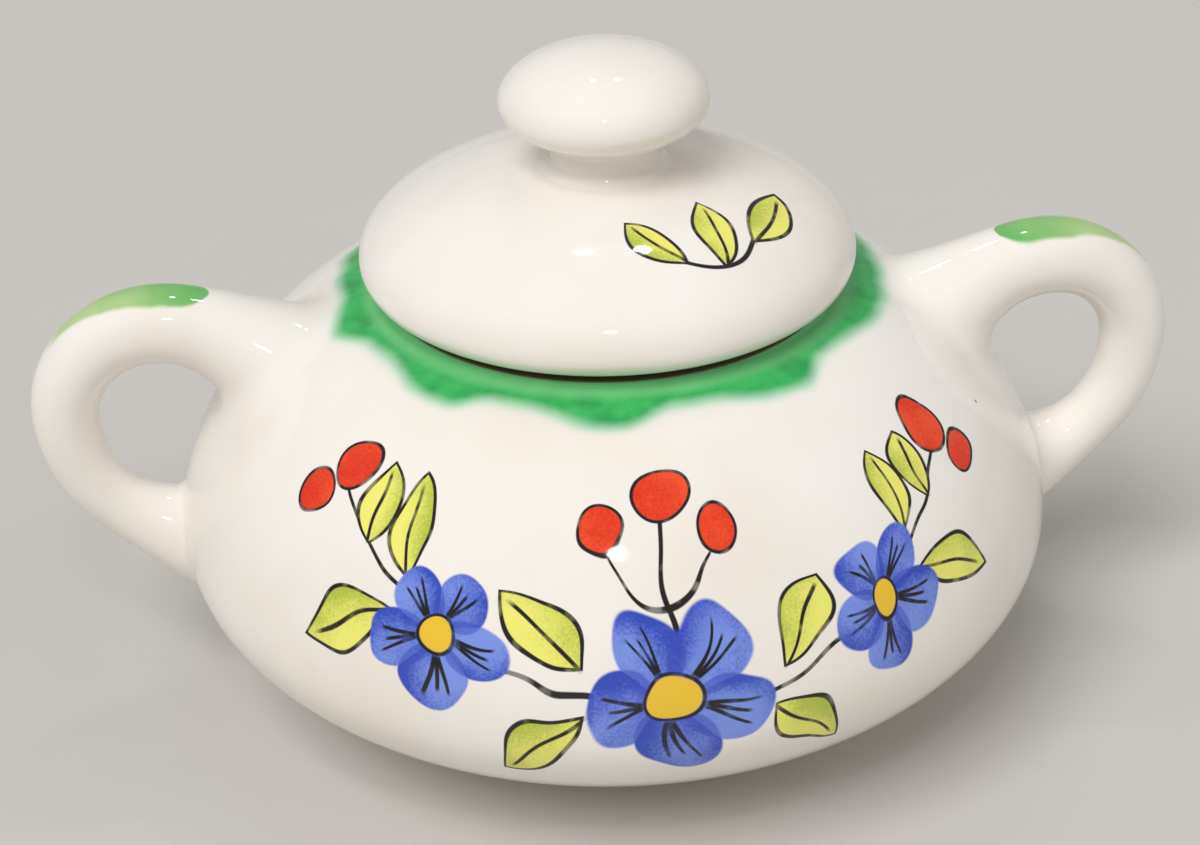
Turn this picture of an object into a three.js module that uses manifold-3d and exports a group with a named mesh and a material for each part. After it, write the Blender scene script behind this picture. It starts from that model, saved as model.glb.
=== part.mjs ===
// Covered sugar bowl: a squat round pot with two loop handles and a loose domed lid with a knob.
// Millimetres, +Z up. The origin is on the table, under the middle of the bowl. X runs across the handles.

import * as THREE from 'three';
import { mergeVertices } from 'three/addons/utils/BufferGeometryUtils.js';
import Module from 'manifold-3d';

// Bowl: belly, rim, mouth and foot
const bellyRadius = 57.5;
const bellyHeight = 24.5;
const bowlWall = 4.5;
const rimHeight = 56.6;
const rimWidth = 4;
const rimRound = 0.6;
const mouthRadius = 25;
const mouthDepth = 5;
const footRadius = 32;
const footWidth = 3.8;
const footHeight = 3;
const footRound = 0.7;
const footRecess = 2.4;
const floorThickness = 5;
const floorRadius = 24;

// Fullness of the belly's curves: pull at the widest line, pull at the small ring, slope at the small ring
const shoulderShape = { wide: 0.44, narrow: 0.457, slope: 0.155 };
const underShape = { wide: 0.49, narrow: 0.48, slope: 0.39 };
const floorShape = { wide: 0.49, narrow: 0.48, slope: 0.12 };

// Lid: a dome with a rounded edge on the rim and a flange inside the mouth
const lidOverhang = 2.8;
const lidEdgeRound = 3.4;
const lidRise = 11.9;
const lidThickness = 4;
const flangeDepth = 6;
const flangeThickness = 3;
const flangeRound = 0.8;
const flangePlay = 0.8;

// Knob: a flattened ball on a short hollowed neck
const knobRadius = 13.3;
const knobCrown = 6.8;
const knobUnder = 5.9;
const knobLift = 8.75;
const neckRadius = 7.2;
const neckFlare = 1.5;
const neckFlareHeight = 1.8;

// Handles: the centre line is measured from the belly and the rim, the section is nearly round
const upperRootDrop = 10.6;
const upperRootDepth = 5;
const upperRootAngle = THREE.MathUtils.degToRad(38);
const lowerRootDrop = 4.5;
const lowerRootDepth = 9;
const lowerRootAngle = THREE.MathUtils.degToRad(15);
const handleTopReach = 1;
const handleTopRise = 8;
const handleReach = 13.4;
const handleShoulder = 12.4;
const handleUpperRadius = 5.35;
const handleLowerRadius = 3.6;
const handleWidening = 1.08;
const upperFlare = 4.3;
const upperFlareLength = 15;
const lowerFlare = 4.2;
const lowerFlareLength = 22;

// Fullness of the handle's curves, as shares of the stretch that each one spans
const quarterTurn = 0.5523;
const upperRootPull = 0.4;
const topPull = 0.37;
const outerPull = 0.58;
const lowerRootPull = 0.62;

// Clearances: the lid on its seat, and the joints where the knob and the handles are stuck on
const seatGap = 0.3;
const jointGap = 0.3;

// White glaze
const bowlWhite = 0xefece4;
const lidWhite = 0xf1eee7;
const glazeRoughness = 0.12;

// Facets
const bodySegments = 48;
const knobSegments = 32;
const longCurveSteps = 9;
const curveSteps = 6;
const roundSteps = 2;
const handleRings = 26;
const handleSides = 16;

// Directions on an outline, as angles from the outward one
const outward = 0;
const upward = Math.PI / 2;
const inward = Math.PI;
const downward = -Math.PI / 2;

// Halvings of a curve's length that pin down a place on it
const halvings = 40;

// Places that follow from the sizes above
const rimRadius = mouthRadius + rimWidth;
const lidRadius = rimRadius + lidOverhang;
const lidUnderside = rimHeight + seatGap;
const lidEdgeHeight = lidUnderside + lidEdgeRound;
const flangeRadius = mouthRadius - flangePlay;
const neckFootRadius = neckRadius + neckFlare;
const padHeight = lidEdgeHeight + ellipseHeight(neckFootRadius, lidRadius, lidRise);
const knobHeight = padHeight + knobLift;

const wasm = await Module();
wasm.setup();

function ellipseHeight(radius, across, up) {
  return up * Math.sqrt(1 - (radius / across) ** 2);
}

function at(radius, height) {
  return new THREE.Vector2(radius, height);
}

// A rounded corner, anticlockwise from one direction to the next
function corner(centre, size, from, to) {
  return new THREE.EllipseCurve(centre.x, centre.y, size, size, from, to);
}

// A stretch of an ellipse about the axis
function dome(height, across, up, from, to) {
  const clockwise = to < from;
  return new THREE.EllipseCurve(0, height, across, up, from, to, clockwise);
}

// A belly curve from its widest line, where it stands upright, to a smaller ring above or below
function bellyCurve(widest, ring, shape) {
  const rise = ring.y - widest.y;
  const inset = shape.narrow * (widest.x - ring.x);
  return new THREE.CubicBezierCurve(
    widest,
    at(widest.x, widest.y + shape.wide * rise),
    at(ring.x + inset, ring.y - Math.sign(rise) * shape.slope * inset),
    ring,
  );
}

// The outer face of the bowl, in two curves that meet at the widest line
const widestLine = at(bellyRadius, bellyHeight);
const shoulderCurve = bellyCurve(widestLine, at(rimRadius, rimHeight - rimRound), shoulderShape);
const underCurve = bellyCurve(widestLine, at(footRadius, footHeight), underShape);

// Radius of the bowl's outer face at a height between the foot and the rim
function bowlRadiusAt(height) {
  const curve = height > bellyHeight ? shoulderCurve : underCurve;
  const target = Math.abs(height - bellyHeight);
  let low = 0;
  let high = 1;
  for (let i = 0; i < halvings; i++) {
    const middle = (low + high) / 2;
    if (Math.abs(curve.getPoint(middle).y - bellyHeight) < target) low = middle;
    else high = middle;
  }
  return curve.getPoint(low).x;
}

// A solid of revolution about Z, from outline points that start and end on the axis
function turned(points, segments) {
  const outline = points.filter((point, i) => i === 0 || point.distanceTo(points[i - 1]) > Number.EPSILON);
  return new THREE.LatheGeometry(outline, segments).rotateX(Math.PI / 2);
}

function bowlGeometry() {
  const innerWidest = at(bellyRadius - bowlWall, bellyHeight);
  const floorHeight = footRecess + floorThickness;
  const innerShoulder = bellyCurve(innerWidest, at(mouthRadius, rimHeight - mouthDepth), shoulderShape);
  const innerUnder = bellyCurve(innerWidest, at(floorRadius, floorHeight), floorShape);
  const footInside = footRadius - footWidth;
  const footInner = corner(at(footInside + footRound, footRound), footRound, inward, downward);
  const footOuter = corner(at(footRadius - footRound, footRound), footRound, downward, outward);
  const rimOuter = corner(at(rimRadius - rimRound, rimHeight - rimRound), rimRound, outward, upward);
  const rimInner = corner(at(mouthRadius + rimRound, rimHeight - rimRound), rimRound, upward, inward);
  return turned([
    at(0, footRecess),
    at(footInside, footRecess),
    ...footInner.getPoints(roundSteps),
    ...footOuter.getPoints(roundSteps),
    ...underCurve.getPoints(longCurveSteps).reverse(),
    ...shoulderCurve.getPoints(longCurveSteps),
    ...rimOuter.getPoints(roundSteps),
    ...rimInner.getPoints(roundSteps),
    ...innerShoulder.getPoints(longCurveSteps).reverse(),
    ...innerUnder.getPoints(curveSteps),
    at(0, floorHeight),
  ], bodySegments);
}

function lidGeometry() {
  const hollowRadius = lidRadius - lidThickness;
  const hollowRise = lidRise - lidThickness;
  const flangeInside = flangeRadius - flangeThickness;
  const flangeTip = lidUnderside - flangeDepth + flangeRound;
  const hollowEnd = Math.acos(flangeInside / hollowRadius);
  const hollow = dome(lidEdgeHeight, hollowRadius, hollowRise, upward, hollowEnd);
  const flangeInner = corner(at(flangeInside + flangeRound, flangeTip), flangeRound, inward, downward);
  const flangeOuter = corner(at(flangeRadius - flangeRound, flangeTip), flangeRound, downward, outward);
  const edge = corner(at(lidRadius - lidEdgeRound, lidEdgeHeight), lidEdgeRound, downward, outward);
  const top = dome(lidEdgeHeight, lidRadius, lidRise, outward, Math.acos(neckFootRadius / lidRadius));
  return turned([
    ...hollow.getPoints(curveSteps),
    ...flangeInner.getPoints(roundSteps),
    ...flangeOuter.getPoints(roundSteps),
    at(flangeRadius, lidUnderside),
    ...edge.getPoints(curveSteps),
    ...top.getPoints(longCurveSteps),
    at(0, padHeight),
  ], bodySegments);
}

function knobGeometry() {
  const foot = padHeight + jointGap;
  const neck = new THREE.QuadraticBezierCurve(
    at(neckFootRadius, foot),
    at(neckRadius, foot),
    at(neckRadius, foot + neckFlareHeight),
  );
  const under = dome(knobHeight, knobRadius, knobUnder, -Math.acos(neckRadius / knobRadius), outward);
  const crown = dome(knobHeight, knobRadius, knobCrown, outward, upward);
  return turned([
    at(0, foot),
    ...neck.getPoints(curveSteps),
    ...under.getPoints(curveSteps),
    ...crown.getPoints(curveSteps),
  ], knobSegments);
}

// Centre line of the handle at +X: root on the shoulder, top, outermost point, root under the belly
function handleLine() {
  const upperRootHeight = rimHeight - upperRootDrop;
  const lowerRootHeight = bellyHeight - lowerRootDrop;
  const upperRoot = at(bowlRadiusAt(upperRootHeight) - upperRootDepth, upperRootHeight);
  const lowerRoot = at(bowlRadiusAt(lowerRootHeight) - lowerRootDepth, lowerRootHeight);
  const top = at(bellyRadius + handleTopReach, upperRootHeight + handleTopRise);
  const outermost = at(bellyRadius + handleReach, top.y - handleShoulder);
  const upperSpan = top.x - upperRoot.x;
  const lowerSpan = outermost.x - lowerRoot.x;
  const line = new THREE.CurvePath();
  line.add(new THREE.CubicBezierCurve(
    upperRoot,
    at(Math.cos(upperRootAngle), Math.sin(upperRootAngle))
      .multiplyScalar(upperRootPull * upperSpan).add(upperRoot),
    at(top.x - topPull * upperSpan, top.y),
    top,
  ));
  line.add(new THREE.CubicBezierCurve(
    top,
    at(top.x + quarterTurn * (outermost.x - top.x), top.y),
    at(outermost.x, outermost.y + quarterTurn * (top.y - outermost.y)),
    outermost,
  ));
  line.add(new THREE.CubicBezierCurve(
    outermost,
    at(outermost.x, outermost.y - outerPull * (outermost.y - lowerRoot.y)),
    at(Math.cos(lowerRootAngle), Math.sin(lowerRootAngle))
      .multiplyScalar(lowerRootPull * lowerSpan).add(lowerRoot),
    lowerRoot,
  ));
  return line;
}

// Half thickness of the handle at a distance along its centre line
function handleRadius(along, length) {
  const { lerp, smoothstep } = THREE.MathUtils;
  const lowerFlareStart = length - lowerFlareLength;
  const taper = smoothstep(along, upperFlareLength, lowerFlareStart);
  const upper = upperFlare * Math.max(0, 1 - along / upperFlareLength) ** 2;
  const lower = lowerFlare * smoothstep(along, lowerFlareStart, length);
  return lerp(handleUpperRadius, handleLowerRadius, taper) + upper + lower;
}

// A closed tube of rings along the centre line, each ring an oval that is wider across than it is thick
function handleTube() {
  const line = handleLine();
  const length = line.getLength();
  const positions = [];
  const faces = [];
  for (let ring = 0; ring <= handleRings; ring++) {
    const share = ring / handleRings;
    const centre = line.getPointAt(share);
    const tangent = line.getTangentAt(share);
    const thick = handleRadius(share * length, length);
    for (let side = 0; side < handleSides; side++) {
      const turn = (2 * Math.PI * side) / handleSides;
      const out = thick * Math.cos(turn);
      positions.push(
        centre.x - tangent.y * out,
        handleWidening * thick * Math.sin(turn),
        centre.y + tangent.x * out,
      );
    }
  }
  for (let ring = 0; ring < handleRings; ring++) {
    for (let side = 0; side < handleSides; side++) {
      const here = ring * handleSides + side;
      const beside = ring * handleSides + ((side + 1) % handleSides);
      faces.push(here, here + handleSides, beside);
      faces.push(beside, here + handleSides, beside + handleSides);
    }
  }
  const last = handleRings * handleSides;
  for (let side = 2; side < handleSides; side++) {
    faces.push(0, side - 1, side);
    faces.push(last, last + side, last + side - 1);
  }
  const geometry = new THREE.BufferGeometry();
  geometry.setAttribute('position', new THREE.Float32BufferAttribute(positions, 3));
  geometry.setIndex(faces);
  return geometry;
}

// Points along a curve, moved square to it by a distance
function offsetPoints(curve, distance) {
  return Array.from({ length: longCurveSteps + 1 }, (_, step) => {
    const share = step / longCurveSteps;
    const tangent = curve.getTangent(share);
    return at(tangent.y, -tangent.x).multiplyScalar(distance).add(curve.getPoint(share));
  });
}

// The bowl's outer form without its hollow, larger by the joint gap
function bowlCutter() {
  const under = offsetPoints(underCurve, -jointGap).reverse();
  const shoulder = offsetPoints(shoulderCurve, jointGap);
  return turned([
    at(0, under[0].y),
    ...under,
    ...shoulder,
    at(0, shoulder[shoulder.length - 1].y),
  ], bodySegments);
}

function toSolid(geometry) {
  const shell = geometry.clone();
  shell.deleteAttribute('normal');
  shell.deleteAttribute('uv');
  const merged = mergeVertices(shell);
  return new wasm.Manifold(new wasm.Mesh({
    numProp: 3,
    vertProperties: merged.attributes.position.array,
    triVerts: new Uint32Array(merged.index.array),
  }));
}

function toGeometry(solid) {
  const mesh = solid.getMesh();
  const geometry = new THREE.BufferGeometry();
  geometry.setAttribute('position', new THREE.BufferAttribute(mesh.vertProperties, mesh.numProp));
  geometry.setIndex(new THREE.BufferAttribute(mesh.triVerts, 1));
  geometry.computeVertexNormals();
  return geometry;
}

// Both ends of the tube are shaped to the bowl's wall
function handleGeometry() {
  return toGeometry(toSolid(handleTube()).subtract(toSolid(bowlCutter())));
}

function piece(name, geometry, color) {
  const material = new THREE.MeshStandardMaterial({ color, roughness: glazeRoughness, metalness: 0 });
  const mesh = new THREE.Mesh(geometry, material);
  mesh.name = name;
  return mesh;
}

const rightHandle = piece('right_handle', handleGeometry(), bowlWhite);
const leftHandle = piece('left_handle', handleGeometry(), bowlWhite);
leftHandle.rotation.z = Math.PI;

const bowl = new THREE.Group();
bowl.add(piece('bowl_body', bowlGeometry(), bowlWhite), leftHandle, rightHandle);

const cover = new THREE.Group();
cover.add(piece('lid', lidGeometry(), lidWhite), piece('lid_knob', knobGeometry(), lidWhite));

const sugarBowl = new THREE.Group();
sugarBowl.add(bowl, cover);

export default sugarBowl;
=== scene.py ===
import math

import bpy
import numpy as np
from bpy.props import FloatProperty, FloatVectorProperty, IntProperty, PointerProperty
from mathutils import Color, Matrix, Vector


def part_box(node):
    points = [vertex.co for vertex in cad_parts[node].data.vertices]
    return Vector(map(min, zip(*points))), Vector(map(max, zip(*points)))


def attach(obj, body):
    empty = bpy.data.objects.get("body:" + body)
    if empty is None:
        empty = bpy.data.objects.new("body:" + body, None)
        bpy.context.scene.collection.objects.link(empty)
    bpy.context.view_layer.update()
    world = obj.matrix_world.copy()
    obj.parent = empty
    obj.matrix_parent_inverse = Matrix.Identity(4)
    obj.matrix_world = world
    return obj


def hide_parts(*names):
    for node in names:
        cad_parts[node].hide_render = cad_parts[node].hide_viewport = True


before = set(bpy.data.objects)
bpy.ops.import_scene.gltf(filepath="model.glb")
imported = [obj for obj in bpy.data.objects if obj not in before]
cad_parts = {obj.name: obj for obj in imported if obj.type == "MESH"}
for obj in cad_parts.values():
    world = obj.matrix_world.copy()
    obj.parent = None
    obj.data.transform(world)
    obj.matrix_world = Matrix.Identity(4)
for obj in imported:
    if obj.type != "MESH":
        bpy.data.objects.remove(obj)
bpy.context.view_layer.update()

bl_info = {
    "name": "Covered sugar bowl",
    "version": (1, 0, 0),
    "blender": (4, 5, 0),
    "location": "3D View > Sidebar > Sugar bowl",
    "description": "Makes a covered sugar bowl of glazed pottery and a plain stage for it",
    "category": "Add Mesh",
}

MM = 0.001
SCREEN_STEPS = 255
BOWL_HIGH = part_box("bowl_body")[1]
LID_LOW, LID_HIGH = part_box("lid")
KNOB_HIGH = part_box("lid_knob")[1]


def length(name, description, default):
    """A size in metres that a user may change."""
    return FloatProperty(
        name=name, description=description, default=default, unit="LENGTH",
        subtype="DISTANCE", precision=5, min=0.0,
    )


def share(name, description, default):
    """A proportion or a strength, without a unit."""
    return FloatProperty(
        name=name, description=description, default=default, subtype="FACTOR", precision=4,
        min=0.0, soft_max=2.0,
    )


def angle(name, description, degrees):
    """An angle, kept in radians and shown in degrees."""
    return FloatProperty(
        name=name, description=description, default=math.radians(degrees), subtype="ANGLE",
    )


def colour(name, description, red, green, blue):
    """A colour given in the 0 to 255 steps of a screen, kept in linear light."""
    linear = (Color((red, green, blue)) / SCREEN_STEPS).from_srgb_to_scene_linear()
    return FloatVectorProperty(
        name=name, description=description, default=tuple(linear),
        subtype="COLOR", size=3, min=0.0, max=1.0,
    )


class BowlSizes(bpy.types.PropertyGroup):
    """Sizes of the round body."""

    belly_radius: length("Belly radius", "Radius of the body at its widest", BOWL_HIGH.x)
    belly_height: length("Belly height", "Height of the widest ring", 0.0245)
    wall: length("Wall", "Thickness of the body's wall", 0.0045)
    rim_height: length("Rim height", "Height of the rim", BOWL_HIGH.z)
    rim_radius: length("Rim radius", "Outer radius of the rim", 0.029)
    rim_width: length("Rim width", "Width of the flat top of the rim", 0.004)
    rim_round: length("Rim rounding", "Rounding of the rim's two edges", 0.0006)
    mouth_depth: length("Mouth depth", "Height of the straight mouth under the rim", 0.005)
    foot_radius: length("Foot radius", "Outer radius of the foot ring", 0.032)
    foot_width: length("Foot width", "Width of the foot ring", 0.0038)
    foot_height: length("Foot height", "Height of the foot ring outside", 0.003)
    foot_round: length("Foot rounding", "Rounding of the foot ring's edges", 0.0007)
    foot_recess: length("Foot recess", "Depth of the hollow inside the foot ring", 0.0024)
    floor_thickness: length("Floor thickness", "Thickness of the body's floor", 0.005)
    floor_radius: length("Floor radius", "Radius of the flat floor inside", 0.024)
    segments: IntProperty(name="Segments", description="Steps around", default=256, min=48)


class LidSizes(bpy.types.PropertyGroup):
    """Sizes of the cover."""

    radius: length("Lid radius", "Outer radius of the lid", LID_HIGH.x)
    seat_gap: length("Seat gap", "Gap between the rim and the lid at rest", 0.0003)
    edge_round: length("Edge rounding", "Rounding under the lid's edge", 0.0034)
    undercut: length("Undercut", "Rise of the underside towards the lid's edge", 0.00035)
    rise: length("Rise", "Height of the dome above the lid's widest ring", 0.0119)
    thickness: length("Thickness", "Thickness of the lid", 0.004)
    flange_radius: length("Flange radius", "Outer radius of the flange under the lid", 0.0242)
    flange_thickness: length("Flange thickness", "Thickness of the flange", 0.003)
    flange_round: length("Flange rounding", "Rounding of the flange's lower edges", 0.0008)


class KnobSizes(bpy.types.PropertyGroup):
    """Sizes of the knob."""

    radius: length("Knob radius", "Radius of the knob at its widest", KNOB_HIGH.x)
    crown: length("Crown", "Height of the knob above its widest ring", 0.0068)
    under: length("Under", "Height of the knob below its widest ring", 0.0055)
    neck_radius: length("Neck radius", "Radius of the neck at its narrowest", 0.0071)
    flare_radius: length("Flare radius", "Radius where the neck runs out on the lid", 0.0085)
    flare_height: length("Flare height", "Height over which the neck widens", 0.0016)
    lip: length("Lip", "How far the fine lip under the knob stands out from the neck", 0.0012)
    lip_round: length("Lip rounding", "Rounding of the fine lip", 0.0003)


class HandleSizes(bpy.types.PropertyGroup):
    """Sizes of the two loop handles."""

    upper_drop: length("Upper drop", "Height of the rim above the upper root", 0.0106)
    upper_depth: length("Upper depth", "Depth of the upper root under the surface", 0.005)
    upper_angle: angle("Upper angle", "Slope at which the loop leaves the shoulder", 38)
    lower_drop: length("Lower drop", "Height of the belly ring above the lower root", 0.0045)
    lower_depth: length("Lower depth", "Depth of the lower root under the surface", 0.009)
    lower_angle: angle("Lower angle", "Slope at which the loop comes back", 15)
    top_reach: length("Top reach", "Distance of the loop's top outside the belly", 0.001)
    top_rise: length("Top rise", "Height of the loop's top above the upper root", 0.008)
    reach: length("Reach", "Distance of the outermost point outside the belly", 0.0134)
    shoulder: length("Shoulder", "Drop from the top to the outermost point", 0.0124)
    upper_radius: length("Upper radius", "Radius of the roll at its upper end", 0.00535)
    lower_radius: length("Lower radius", "Radius of the roll at its lower end", 0.0035)
    widening: share("Widening", "Width of the roll against its thickness", 1.08)
    upper_flare: length("Upper flare", "Widening at the upper root", 0.0043)
    upper_flare_run: length("Upper flare run", "Length of the upper widening", 0.015)
    lower_flare: length("Lower flare", "Widening at the lower root", 0.0043)
    lower_flare_run: length("Lower flare run", "Length of the lower widening", 0.0218)
    upper_fillet: length("Upper fillet", "Size of the smoothed slip at the upper root", 0.0042)
    top_fillet: length("Top fillet", "Size of the smoothed slip above the upper root", 0.0024)
    lower_fillet: length("Lower fillet", "Size of the smoothed slip at the lower root", 0.0015)


class GlazeColours(bpy.types.PropertyGroup):
    """Colours of the glaze and of the brushwork."""

    white: colour("White glaze", "Glaze on body, handles and lid", 246, 241, 234)
    cream: colour("Cream glaze", "Where the glaze lies thin", 240, 231, 219)
    band_green: colour("Band green", "Wash of the band round the rim", 60, 190, 98)
    band_deep: colour("Deep green", "Where the band's wash pools", 40, 160, 78)
    # Painted reflection: a lighter green standing for the lid's white edge mirrored in the band,
    # lifting the lid's shade there.
    band_lid_reflection: colour("Thin green", "Where the wash lies thin under the lid", 128, 206, 138)
    band_fringe: colour("Fringe", "Where the band bleeds into the glaze", 160, 222, 186)
    stroke_green: colour("Stroke green", "Full end of the handle strokes", 98, 184, 96)
    stroke_yellow: colour("Stroke yellow-green", "Thin end of the handle strokes", 172, 203, 116)
    leaf_light: colour("Light leaf", "Thin wash on the leaves", 242, 238, 118)
    leaf_deep: colour("Deep leaf", "Full wash on the leaves", 176, 192, 62)
    petal_light: colour("Light petal", "Thin wash on the petals", 126, 150, 230)
    petal_deep: colour("Deep petal", "Full wash on the petals", 52, 76, 188)
    heart: colour("Flower heart", "Middle of each flower", 240, 196, 52)
    berry: colour("Berry", "Full wash on the berries", 222, 46, 18)
    berry_light: colour("Light berry", "Thin wash on the berries", 246, 84, 40)
    ink: colour("Ink", "Brush lines", 30, 26, 28)
    speck: colour("Speck", "Small iron specks in the glaze", 120, 84, 58)
    # Bare clay, painted dark brown so that on the seats it is also the painted shade of the seam
    # under the lid.
    biscuit_and_seam_shade: colour("Biscuit", "Bare fired clay under the foot and on the lid's seat", 100, 74, 56)


class StageSettings(bpy.types.PropertyGroup):
    """Camera, floor and lamps."""

    azimuth: angle("Azimuth", "Turn of the camera about the bowl", -6.55)
    elevation: angle("Elevation", "Height of the camera as an angle", 30.0)
    roll: angle("Roll", "Tilt of the camera", -1.47)
    distance: length("Distance", "From the aim to the camera", 0.334)
    aim_height: length("Aim height", "Height of the point aimed at", 0.034)
    aim_side: FloatProperty(
        name="Aim side", description="Sideways place of the point aimed at",
        default=-0.00151, unit="LENGTH", precision=5,
    )
    lens: FloatProperty(
        name="Lens", description="Focal length", default=75.0, subtype="DISTANCE_CAMERA",
    )
    floor: colour("Floor", "Plain pale floor", 206, 203, 198)
    key: share("Key", "Light of the main lamp on a surface that faces it", 1.9)
    fill: share("Fill", "Light of the second lamp on a surface that faces it", 0.32)
    softness: angle("Softness", "Angle that each of these two lamps covers", 34.0)
    sky: share("Sky", "Even light from all round", 0.35)


SETTINGS = (
    ("sugar_bowl_body", BowlSizes),
    ("sugar_bowl_lid", LidSizes),
    ("sugar_bowl_knob", KnobSizes),
    ("sugar_bowl_handle", HandleSizes),
    ("sugar_bowl_glaze", GlazeColours),
    ("sugar_bowl_stage", StageSettings),
)

# Outline of the body: share of the height kept upright at the widest ring, share of the width
# kept level at the narrow ring, and slope there.
SHOULDER_SHAPE = (0.44, 0.457, 0.155)
UNDER_SHAPE = (0.49, 0.48, 0.39)
FLOOR_SHAPE = (0.49, 0.48, 0.12)

# Run of the handle: how far each curve holds the direction of its ends.
QUARTER_TURN = 0.5523
UPPER_PULL = 0.4
TOP_PULL = 0.37
OUTER_PULL = 0.58
LOWER_PULL = 0.62

# Fineness of the meshes, and how close two points of an outline are when they count as one.
CURVE_STEPS = 48
ROUND_STEPS = 8
RUN_STEPS = 160
CROSSING_STEPS = 1500
HANDLE_SIDES = 72
HANDLE_RINGS = 96
FILLET_RINGS = 12
SAME_POINT = 1e-6

# Handle roots: how far a roll is followed past its ends, how full the slip's curve is, the step
# that gives the direction in which it begins, and how its edge goes on along the surface and
# under it before the hidden end.
BURIED = 8 * MM
FILLET_PULL = 0.62
LOOK_BACK = 0.2 * MM
SLIP_EDGE = ((0.25 * MM, 0.03 * MM), (0.5 * MM, 0.1 * MM), (0.6 * MM, 0.5 * MM))
ROOT_DEPTH = 1.2 * MM

# Rounding of the rim, height against width. Neck of the knob: depths of its hidden end in the
# lid, and the pulls of its two curves.
RIM_FLATNESS = 0.5
PLUG_MIDDLE, PLUG_BEVEL, PLUG_DEPTH, PLUG_EDGE = 1.5 * MM, 1 * MM, 0.8 * MM, 0.3 * MM
FLARE_SINK = 0.02 * MM
FLARE_START = 0.4 * MM
FLARE_PULL = 0.6
LIP_BEND = 0.1 * MM

# Sockets of a Mix node for colours.
MIX_MASK, MIX_BELOW, MIX_ABOVE, MIX_RESULT = 0, 6, 7, 2

# From here to the lamps, lengths are in millimetres. A noise has its waves per millimetre and its
# detail, a waver also its size, and a fade has the values where it is 0 and where it is 1.

# Fired glaze.
GLAZE_IOR = 1.52
WAVES = (0.16, 3.0)
WAVE_HEIGHT = 0.4
GLAZE_WAVINESS = 0.12
GLOSS_NOISE = (0.09, 2.0)
LEAST_ROUGHNESS, ROUGHNESS_RANGE = 0.03, 0.04
BARE_ROUGHNESS = 0.62
CREAM_NOISE = (0.035, 3.0)
CREAM_FADE = (0.35, 0.8)
SPECK_SCALE = 0.085
SPECK_CHOICE = (0.72, 0.75)
SPECK_EDGE = (0.028, 0.014)

# Brush: half widths of its lines, and how evenly its paint lies.
LINE_SOFT = 0.08
STALK_LINE = 0.3
LEAF_LINE = 0.27
FINE_LINE = 0.24
HEART_LINE = 0.2
GRAIN_NOISE = (3.2, 1.0)
GRAIN_SHARE = 0.5
WASH_NOISE = (0.15, 2.0)
WASH_FADE = (0.24, 0.76)
PRESS_NOISE = (0.35, 2.0)
PRESS_FADE = (0.32, 0.5)
LEAST_PRESS = 0.72

# Leaf and berry.
LEAF_TILT = 0.8
LEAF_WASH = (-0.1, 1.7)
LEAF_EDGE = (-0.4, 0.1)
LEAF_MARGIN = 0.05
RIB_SHIFT = 0.25
RIB_START = (-0.05, 0.05)
RIB_END = (0.92, 0.8)
BERRY_SOFT = 0.5
BERRY_MARGIN = 0.3

# Blossom, in shares of its radius: middle, half length and half width of a petal's oval, then
# its shading, its veins and its heart.
PETALS = 5
PETAL_OVAL = (0.57, 0.46, 0.4)
PETAL_RIM = 0.3
PETAL_WASH = 0.6
PETAL_SHADE = (-0.05, 1.0)
PETAL_EDGE = (1.06, 0.96)
OVERLAP_EDGE = (1.03, 0.96)
OVERLAP_SHADE = 0.6
VEIN_SPREAD = 0.24
VEIN_ROOT = 0.05
VEIN_TAPER = 0.6
VEIN_BEND = 0.6
VEIN_START = (0.24, 0.3)
VEIN_END = (0.86, 0.76)
HEART_EDGE = (0.26, 0.21)
HEART_RING = 0.25

# Garland: the body's surface is laid flat about its axis and about a ring inside it, and only its
# outside is painted. A leaf has its start, length, half width and direction, a berry its centre
# and radius, and a blossom its centre, radius and turn.
FACE_RADIUS = 54
BEND_RADIUS, BEND_HEIGHT, BEND_REACH = 25, 24.5, 32
OUTSIDE = (28.8, 29.8)
GARLAND_WAVER = (0.075, 1.0, 7)
SWAG_RISE, SWAG_HEIGHT, SWAG_THINNING = 0.0105, 4, 0.9
SWAG_END = (46, 45)
STEM_START, STEM_END = (12, 13), (28, 27)
FORK_RISE, FORK_HEIGHT, FORK_THINNING = 0.12, 15.5, 0.75
FORK_SIDE, FORK_END = (7.4, 6.8), (24, 23)
GARLAND_LEAVES = (
    ((11, 3), 12, 3.1, -42), ((11.5, 8), 12, 3.1, 50), ((33.5, 12), 13, 3.1, -25),
    ((32.5, 17), 12, 2.9, 80), ((38.5, 19.5), 10, 2.6, 78),
)
GARLAND_BERRIES = (((46, 28), 3.0), ((50, 22.5), 2.6), ((0, 29), 3.3), ((8, 24.5), 2.8))
GARLAND_BLOSSOMS = (((27, 11), 8.4, 20), ((0, 6), 10.6, 90))

# Sprig on the lid, laid flat about the lid's axis.
FRONT_HALF = (1, -1)
FRONT_TURN, BACK_TURN = -0.51, 0.22
SECTOR_RADIUS = 22
SPRIG_RADIUS = 23
SPRIG_WAVER = (0.12, 0.0, 2.4)
TWIG_DROP, TWIG_RISE, TWIG_THINNING = 2.2, 0.05, 0.95
TWIG_START, TWIG_END = (-9, -8.6), (6, 5.6)
SPRIG_LEAVES = (((-1, -2), 11.5, 2.7, 62), ((-5, -1), 10, 2.4, 128), ((5, -1), 11, 2.6, 14))
DOME_START = (60.5, 61.5)

# Bare clay: the foot's flat, the seat on the rim, and the seat under the lid.
# Its dark brown is partly painted shade: on the two seats it stands for the shade in the seam under
# the lid.
FOOT_BARE = (0.5, 0.25)
SEAT_BARE_AND_SHADE = (56.05, 56.25)
LID_SEAT_SHADE_START, LID_SEAT_SHADE_TOP = (24.2, 24.6), (57.1, 56.98)
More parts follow.
